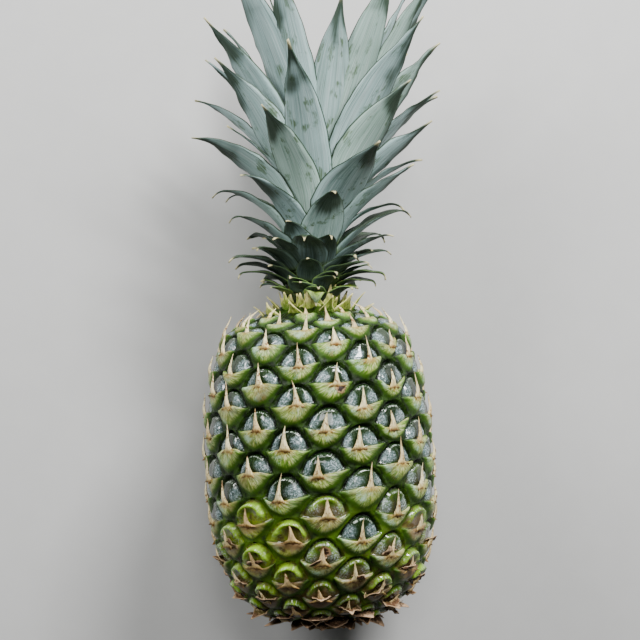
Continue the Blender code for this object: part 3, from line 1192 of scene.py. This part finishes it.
# The crown: leaves set closely up a short stem that leans to +X.
crown = {
    "lean": 7.4,           # degrees
    "baseY": 0.0880,
    "stemLength": 0.0760,
    "stemRadii": (0.0140, 0.0050),
    "gap": 1.3 * mm,       # from the stem to the middle of a blade
    "channel": 17 * mm,    # radius of a blade's gutter
    "wrap": 46,            # how far a blade turns round the stem to each side, at most
    "rows": 30,
    "fine": 6,             # steps of its course in a row
    "columns": 8,
    "thickness": 1.0 * mm,
    "thinEdge": 0.35,
    "lowest": 0.6 * mm,    # above the table
    "first": 13,           # how far a blade leans out at its base
    "lowFirst": 50,        # how much more the lowest do
    "lowEnd": 40,          # up to here on the stem, in millimetres
    "hookFrom": 0.82,      # where its tip starts to hook
    "taper": (1.7, 2.4),   # how far up a short leaf and a long one stay broad
    "base": (0.8, 0.25),   # its width at the base, and where it is at its broadest
    "point": (0.45, 0.70, 0.97),    # how much more it narrows at the tip, and between where
    "tipWidth": 0.5 * mm,
    "open": 1.5,           # how much flatter the gutter is at the tip
    "dusk": (0.30, 0.66),  # where their dark ends start: partly their own dark tips, partly painted shade where tips turn from the light
    "low": 0.95,           # how dark the lowest leaves are: painted shade under the crown
    "dryEnd": 0.09,        # the most of a leaf's length that is dry
    "gutter": 0.10,        # the crease down the middle
    "ripple": (1.3 * mm, 9),        # how high its edges ripple, and how far apart in millimetres
    "cloud": (0.25, 14),   # the same for how uneven its darkness is
    "darkSide": 0.6,       # how much darker the side away from the light is
    "sideVary": 0.25,
    "early": (1.0, 0.75),  # how early short leaves and long ones bend
    "face": 0.6,           # how far long ones twist to face up, and the lengths where that sets in
    "faceFrom": (50, 90),
    "seed": 5,
}

# From the lowest leaf to the innermost: start up the stem, azimuth (0 is up, 90 is towards +X),
# length, direction at the tip from the crown's axis, and width. Millimetres and degrees.
leafRows = (
    (1.8, -58, 12, 88, 14), (4, 170, 22, 110, 18), (4.2, -88, 15, 118, 15), (4.5, -14, 12, 84, 16),
    (5.5, 68, 14, 105, 15), (5.5, -134, 26, 112, 18), (6, 140, 26, 112, 18), (7, -84, 30, 118, 18),
    (7.5, 86, 24, 112, 17), (8, 30, 13, 84, 17), (9, -100, 32, 110, 19), (9.5, 80, 31, 110, 19),
    (10, -160, 34, 100, 21), (11, -78, 37, 112, 20), (12.5, 58, 25, 92, 21), (13, 166, 38, 96, 22),
    (14.5, -60, 27, 88, 21), (15.2, 97, 35, 90, 21), (16.5, -8, 36, 84, 24), (17, -132, 44, 98, 23),
    (18, 76, 38, 78, 23), (20.5, 128, 46, 98, 23), (21, -74, 46, 92, 25), (22, 188, 48, 78, 25),
    (23.2, -31, 27, 62, 22), (23.5, 94, 53, 79, 25), (26, 13, 44, 48, 28), (26.5, -92, 60, 92, 25),
    (27, 150, 60, 80, 26), (28.5, -50, 57, 76, 29), (30, 80, 63, 62, 26), (31.5, -146, 66, 74, 26),
    (32.5, 34, 71, 66, 32), (34.5, -76, 82, 86, 24), (36, 186, 78, 62, 26), (37, 88, 83, 60, 24),
    (38.5, -34, 78, 60, 28), (40.5, -110, 98, 74, 23), (40.5, 108, 98, 55, 23), (43, -64, 95, 54, 24),
    (43.5, 57, 90, 46, 26), (44, 158, 94, 52, 24), (46.5, -21, 101, 46, 28), (47, 80, 111, 42, 23),
    (47, -158, 96, 48, 24), (50, 129, 108, 41, 22), (50.5, -72, 116, 52, 23), (52, 52, 115, 42, 26),
    (54, -106, 108, 44, 22), (56, 72, 136, 31, 24), (56.5, 182, 112, 37, 23), (59, -58, 146, 40, 27),
    (61, 36, 132, 28, 26), (62.5, -40, 131, 31, 24), (65.5, 4, 103, 24, 28), (64.5, -130, 118, 28, 22),
    (66.5, 104, 122, 24, 22),
)


def stemRadius(along):
    low, high = crown["stemRadii"]
    return mix(low, high, along / crown["stemLength"])


# A point of the crown from its angle about the axis, its distance from it and its height up it.
def inCrown(angle, reach, along):
    lean = radians(crown["lean"])
    sideways = reach * sin(angle)
    x = sideways * cos(lean) + along * sin(lean)
    y = crown["baseY"] - sideways * sin(lean) + along * cos(lean)
    return Vector((x, y, barrel["axisHeight"] + reach * cos(angle)))


def bladeWidth(part, width, taper):
    narrow, broadest = crown["base"]
    body = mix(narrow, 1, min(part / broadest, 1))
    much, *ends = crown["point"]
    point = 1 - much * ease(*ends, part)
    return max(width * body * point * (1 - part**taper), crown["tipWidth"])


# (reach, along, direction) at each row of a blade, from its base to its tip.
def bladeCourse(start, length, tip, habit):
    reach, along = stemRadius(start * mm) + crown["gap"] + habit.get("gap", 0) * mm, start * mm
    low = max(1 - start / crown["lowEnd"], 0) ** 1.5
    first = habit.get("first", crown["first"] + crown["lowFirst"] * low)
    bend, early = tip - first, habit["early"]
    fine = crown["fine"]
    steps = crown["rows"] * fine
    course = [(reach, along, radians(first))]
    for step in range(steps):
        part = (step + 0.5) / steps
        direction = first + bend * (1 + early) / 2 * part**early
        hooked = max(part - crown["hookFrom"], 0) / (1 - crown["hookFrom"])
        direction += habit["hook"] * hooked + habit["wave"] * sin(part * 9)
        direction = radians(direction)
        reach += sin(direction) * length * mm / steps
        along += cos(direction) * length * mm / steps
        if (step + 1) % fine == 0:
            course.append((reach, along, direction))
    return course


# A channelled leaf. Its first material is the outer face, its second the inner face.
def makeBlade(name, leaf, habit, materials):
    start, azimuth, length, tip, width = leaf
    length *= habit.get("stretch", 1)
    course = bladeCourse(start, length, tip, habit)
    blade = bmesh.new()
    bmesh.ops.create_grid(blade, x_segments=crown["columns"], y_segments=crown["rows"], size=1)
    layMap(blade, "bladeMap", 2)
    tint, shade, dry = markLayers(blade.verts.layers, "leafTint", "leafShade", "leafDry")
    thick = blade.verts.layers.deform.verify()
    taper = mix(*crown["taper"], ease(20, 60, length))
    dusk = mix(*crown["dusk"], ease(25, 120, length))
    low = crown["low"] * (1 - ease(8, 32, start)) * (1 - habit.get("bright", 0))
    dried = 1 - min(habit["dry"] / length, crown["dryEnd"])
    (high, apart), (uneven, broad) = crown["ripple"], crown["cloud"]
    darkSide = crown["darkSide"] * sin(radians(azimuth)) + crown["sideVary"] * sin(habit["seed"] * 7)
    for vert in blade.verts:
        side, part = vert.co.x, (vert.co.y + 1) / 2
        reach, along, direction = course[round(part * crown["rows"])]
        curve = min(reach, crown["channel"] * mix(1, crown["open"], part))
        half = bladeWidth(part, width * mm, taper) / 2
        wrap = min(half / curve, radians(crown["wrap"])) * side
        sideways = curve * sin(wrap)
        lifted = curve * (1 - cos(wrap)) - crown["gutter"] * half * (1 - abs(side)) ** 2 * part
        ripple = noiseIn(side * 2, part * length / apart, habit["seed"])
        lifted += ripple * high * side * side * ease(0, 0.3, part)
        lifted += habit["twist"] * side * half * ease(0, 0.6, part)
        sideways += habit["sweep"] * length * mm * part**2
        out = reach - lifted * cos(direction)
        turn = atan2(sideways, out)
        vert.co = inCrown(radians(azimuth) + turn, hypot(sideways, out), along + lifted * sin(direction))
        vert.co.z = max(vert.co.z, crown["lowest"])
        vert[tint] = habit["tint"]
        # Painted shade in leafShade: darker towards the tip, on the lowest leaves and on the side away from
        # the light, unevenly.
        cloud = uneven * noiseIn(side, part * length / broad, habit["seed"] + 5)
        dark = ease(dusk, 0.95, part + cloud * 0.6) + low * (1 - 0.4 * part) + cloud
        vert[shade] = min(max(dark + darkSide * side * ease(0.2, 0.8, part), 0), 1)
        vert[dry] = ease(dried - 0.03, dried + 0.01, part + cloud * 0.1)
        vert[thick][0] = (1 - side**2) * (1 - 0.5 * part)
    piece = addPiece(name, blade, materials)
    piece.vertex_groups.new(name="thick")
    wall = piece.modifiers.new("wall", "SOLIDIFY")
    wall.thickness = crown["thickness"]
    wall.offset = 0
    wall.vertex_group = "thick"
    wall.thickness_vertex_group = crown["thinEdge"]
    wall.material_offset = 1
    return piece


# What single leaves have of their own, by number.
leafHabits = {
    1: {"bright": 0.7, "fresh": True},
    5: {"bright": 0.7, "fresh": True},
    40: {"stretch": 1.06},
}

# Small leaves that hide the stem between the others, and thin ones far back in the crown.
collar = {
    "count": 22,
    "start": (-1.5, 16),
    "length": (15, 30),
    "tip": (100, 76),
    "width": (15, 19),
    "first": 24,           # how far they lean out at the base
    "gap": -0.9,
    "turn": 137.5,
    "from": 8,
    "vary": (0.85, 1.15),
    "twist": (-0.1, 0.1),
}
backLeaves = (
    (45, -98, 66, 72, 15), (58, 66, 142, 34, 13), (52, -86, 96, 62, 12), (48, 96, 92, 60, 13),
    (40, -94, 72, 84, 13), (38, 100, 66, 78, 14), (30, -98, 52, 100, 14), (30, 100, 50, 92, 14),
)
freshLeaf = (64, 176, 62, 12, 14)
foldedLeaf = (1.0, 6, 17.5, 192, 13)
foldedHabit = {"bright": 1.0, "hook": 0, "first": 35, "gap": 1}

# How leaves differ, and how those over longLeaf millimetres do.
leafVary = {
    "hook": (25, 90),
    "wave": (-2.0, 2.0),
    "twist": (-0.16, 0.16),
    "sweep": (-0.03, 0.03),
    "tint": (0, 1),
    "seed": (0, 90),
    "dry": (0.8, 3.0),
}
longVary = leafVary | {"hook": (0, 16), "dry": (0.8, 2.2)}
longLeaf = 60


def leafHabit(growth, leaf):
    _, azimuth, length, _, _ = leaf
    habit = drawEach(growth, longVary if length > longLeaf else leafVary)
    habit["early"] = crown["early"][length > longLeaf]
    habit["twist"] += -sin(radians(azimuth)) * ease(*crown["faceFrom"], length) * crown["face"]
    return habit


def makeLeaves(materials, fresh):
    growth = random.Random(crown["seed"])
    for number, leaf in enumerate(leafRows, start=1):
        habit = leafHabit(growth, leaf) | leafHabits.get(number, {})
        name = f"leaf_{number:02d}"
        piece = makeBlade(f"crown_{name}", leaf, habit, fresh if "fresh" in habit else materials)
        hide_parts(name)
    for number, leaf in enumerate(backLeaves, start=1):
        makeBlade(f"back_leaf_{number:02d}", leaf, leafHabit(growth, leaf), materials)
    makeBlade("fresh_leaf", freshLeaf, leafHabit(growth, freshLeaf), fresh)
    makeBlade("folded_leaf", foldedLeaf, leafHabit(growth, foldedLeaf) | foldedHabit, fresh)
    for number in range(collar["count"]):
        share = number / (collar["count"] - 1)
        start, length, tip, width = (mix(*collar[key], share) for key in ("start", "length", "tip", "width"))
        azimuth = (collar["from"] + collar["turn"] * number) % 360
        leaf = (start, azimuth, length * growth.uniform(*collar["vary"]), tip, width)
        habit = leafHabit(growth, leaf)
        habit |= {"first": collar["first"], "gap": collar["gap"], "twist": growth.uniform(*collar["twist"])}
        makeBlade(f"collar_leaf_{number + 1:02d}", leaf, habit, materials)


leafColours = {
    "green": (44, 64, 42),
    "pale": (150, 178, 144),
    "scuff": (70, 94, 42),
    "scratch": (38, 56, 34),
    "foot": (120, 146, 76),
    "dusk": ((20, 38, 20), (48, 68, 44)),       # dark ends and painted shade, between veins and on them
    "margin": ((34, 54, 30), (104, 136, 66)),   # dark up the crown, and pale at its foot, partly a painted highlight on the lowest leaves' edges
    "dry": (204, 196, 150),
}


# A blade's skin: silvery scales over green with fine veins, scuffs, a dark end that is partly painted shade,
# and a dry point. Painted shade also darkens the lowest leaves and each leaf's side away from the light.
def makeLeafMaterial(name, bare, silver, cover):
    material, tree, shader = newMaterial(name, Specular_IOR_Level=0.35)
    across, along = readMap(tree, "bladeMap")
    tint, shade, dry = readMarks(tree, "leafTint", "leafShade", "leafDry")
    place = objectPlace(tree)
    counts = ((60.0, 2.5), (15.0, 1.4), (3.0, 7.0), (26.0, 3.2))
    vein, band, patch, scratch = (streaks(across, along, tint, *count) for count in counts)
    bloom = dusted(place, 90.0, 1400.0, cover)
    fade = times(bloom["Mask"], remap(band, 0.28, 0.55, 0.62, 0.95))
    grain = math("SUBTRACT", plus(times(band, 0.9), times(vein, 0.5)), 0.7)
    rim = math("ABSOLUTE", math("SUBTRACT", across, 0.5))
    own = {
        "base": bare,
        "bare": bare,
        "silver": silver,
        "sheen": [mix(part, 1, 0.40) for part in linear(*silver)],
        "dusk": blendColour(remap(vein, 0.35, 0.65), *leafColours["dusk"]),
        # Pale margins low on the crown are partly a painted highlight.
        "margin": blendColour(remap(readY(place), 0.110, 0.094), *leafColours["margin"]),
    }
    skin = paint(
        leafColours | own,
        green=remap(vein, 0.35, 0.65),
        silver=fade,
        pale=times(remap(tint, 0.4, 1.0), 0.35),
        sheen=times(remap(vein, 0.50, 0.66), 0.45),
        bare=times(remap(vein, 0.46, 0.32), 0.6),
        scuff=times(remap(patch, 0.57, 0.65), remap(vein, 0.42, 0.54), 0.85),
        scratch=times(remap(scratch, 0.65, 0.71), 0.8),
        foot=remap(along, 0.14, 0.0),
        # The dark end and the painted shade, from leafShade.
        dusk=times(remap(plus(shade, grain), 0.12, 0.85), 0.92),
        margin=remap(rim, 0.465, 0.49),
        dry=dry,
    )
    dress(shader, Base_Color=skin, Roughness=remap(fade, 0.0, 1.0, 0.38, 0.60))
    addBump(shader, plus(vein, times(bloom["Height"], 0.4)), 0.55, 0.0005)
    return material


leafOuter = makeLeafMaterial("leafOuter", (68, 94, 78), (160, 189, 188), 1.1)
leafInner = makeLeafMaterial("leafInner", (36, 60, 34), (98, 124, 116), 0.5)
leafFresh = makeLeafMaterial("leafFresh", (100, 138, 10), (160, 182, 30), 0.7)
makeLeaves([leafOuter, leafInner], [leafFresh])
print("leaves made")


# The stub of the stalk, with a cut face, and the crown's stem.
stub = {
    "segments": 48,
    "rings": 6,
    "insets": 4,
    "inset": 1.2 * mm,
    "taper": 0.94,
    "bark": 0.93,          # how far out its bark starts
    "rough": 0.35 * mm,
    "cut": 0.3 * mm,
}


def makeStub(material):
    low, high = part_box("cut_stalk")
    radius, length, middle = (high.x - low.x) / 2, high.y - low.y, (low + high) / 2
    wood = bmesh.new()
    radii = {"radius1": radius, "radius2": radius * stub["taper"]}
    bmesh.ops.create_cone(wood, cap_ends=True, segments=stub["segments"], depth=length, **radii)
    sides = [edge for edge in wood.edges if abs(edge.verts[0].co.z - edge.verts[1].co.z) > length / 2]
    bmesh.ops.subdivide_edges(wood, edges=sides, cuts=stub["rings"])
    for share in range(stub["insets"]):
        caps = [face for face in wood.faces if len(face.verts) > 8]
        bmesh.ops.inset_individual(wood, faces=caps, thickness=stub["inset"] * (1 + share * 0.4))
    for vert in wood.verts:
        angle = atan2(vert.co.y, vert.co.x)
        inside = hypot(vert.co.x, vert.co.y) < radius * stub["bark"]
        fibre = noiseIn(cos(angle) * 9, sin(angle) * 9, vert.co.z * 90)
        if inside:
            vert.co.z *= 1 - stub["cut"] / length * (1 + 2 * fibre)
        else:
            shrink = 1 - stub["rough"] / radius * (1 + fibre)
            vert.co.x *= shrink
            vert.co.y *= shrink
    bmesh.ops.rotate(wood, verts=wood.verts, matrix=Matrix.Rotation(pi / 2, 3, "X"))
    bmesh.ops.translate(wood, verts=wood.verts, vec=middle)
    bmesh.ops.recalc_face_normals(wood, faces=wood.faces)
    piece = addPiece("stalk_stub", wood, [material], smooth=False)
    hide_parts("cut_stalk")


cutWood = {"base": (176, 152, 104), "fibre": (122, 98, 62), "stain": (92, 76, 48)}
stemFlesh = {"base": (62, 76, 38), "fibre": (34, 46, 22), "stain": (92, 76, 48)}


# Wood with fibres along it, and stains.
def makeWoodMaterial(name, colours):
    material, tree, shader = newMaterial(name, Roughness=0.75, Specular_IOR_Level=0.2)
    place = objectPlace(tree)
    fibre = fibreNoise(place, 900.0, 70.0, 4.0, 0.65)
    stain = remap(noiseAt(place, 120.0), 0.55, 0.7)
    dress(shader, Base_Color=paint(colours, fibre=remap(fibre, 0.38, 0.62), stain=stain))
    addBump(shader, fibre, 0.6, 0.0005)
    return material


makeStub(makeWoodMaterial("cutWood", cutWood))
stemMaterial = makeWoodMaterial("stemFlesh", stemFlesh)
for slot in bpy.data.objects["crown_stem"].material_slots:
    slot.material = stemMaterial
print("stalk made")

# Camera, floor and light

floor = {"size": 4.0, "dark": (0.50, 0.50, 0.49, 1), "pale": (0.54, 0.54, 0.53, 1)}
world = {"colour": (0.8, 0.85, 0.9, 1), "strength": 0.06}
view = {"place": (0.00456, 0.0761, 1.061), "turn": -3.27, "lens": 102.3, "sensor": 36}
lightAim = (0, 0.08, 0.06)
lights = (
    {"name": "keyRight", "place": (0.52, 0.84, 0.66), "size": (0.45, 0.20), "power": 26},
    {"name": "keyLeft", "place": (-0.62, 0.68, 0.56), "size": (0.45, 0.20), "power": 9},
    {"name": "overhead", "place": (0.10, 0.50, 1.20), "size": (0.4, 0.4), "power": 6},
)


def makeStage():
    sheet = bmesh.new()
    bmesh.ops.create_grid(sheet, x_segments=1, y_segments=1, size=floor["size"] / 2)
    material, tree, shader = newMaterial("paleFloor", Roughness=0.85)
    grain = noiseAt(objectPlace(tree), 60.0, 3.0, 0.55)
    dress(shader, Base_Color=blendColour(grain, floor["dark"], floor["pale"]))
    ground = addObject("floor", sheet, [material])


def makeLights():
    for row in lights:
        lamp = bpy.data.lights.new(row["name"], "AREA")
        lamp.shape = "RECTANGLE"
        lamp.size, lamp.size_y = row["size"]
        lamp.energy = row["power"]
        thing = addToScene(bpy.data.objects.new(row["name"], lamp))
        thing.location = row["place"]
        thing.rotation_euler = (Vector(lightAim) - thing.location).to_track_quat("-Z", "Y").to_euler()
    bpy.context.scene.world = bpy.data.worlds.new("studio")
    bpy.context.scene.world.use_nodes = True
    sky = bpy.context.scene.world.node_tree.nodes["Background"]
    dress(sky, Color=world["colour"], Strength=world["strength"])


def makeCamera():
    lens = bpy.data.cameras.new("camera")
    lens.sensor_width = view["sensor"]
    lens.lens = view["lens"]
    camera = addToScene(bpy.data.objects.new("camera", lens))
    camera.location = view["place"]
    camera.rotation_euler = (0, 0, radians(view["turn"]))
    bpy.context.scene.camera = camera


makeStage()
makeLights()
makeCamera()
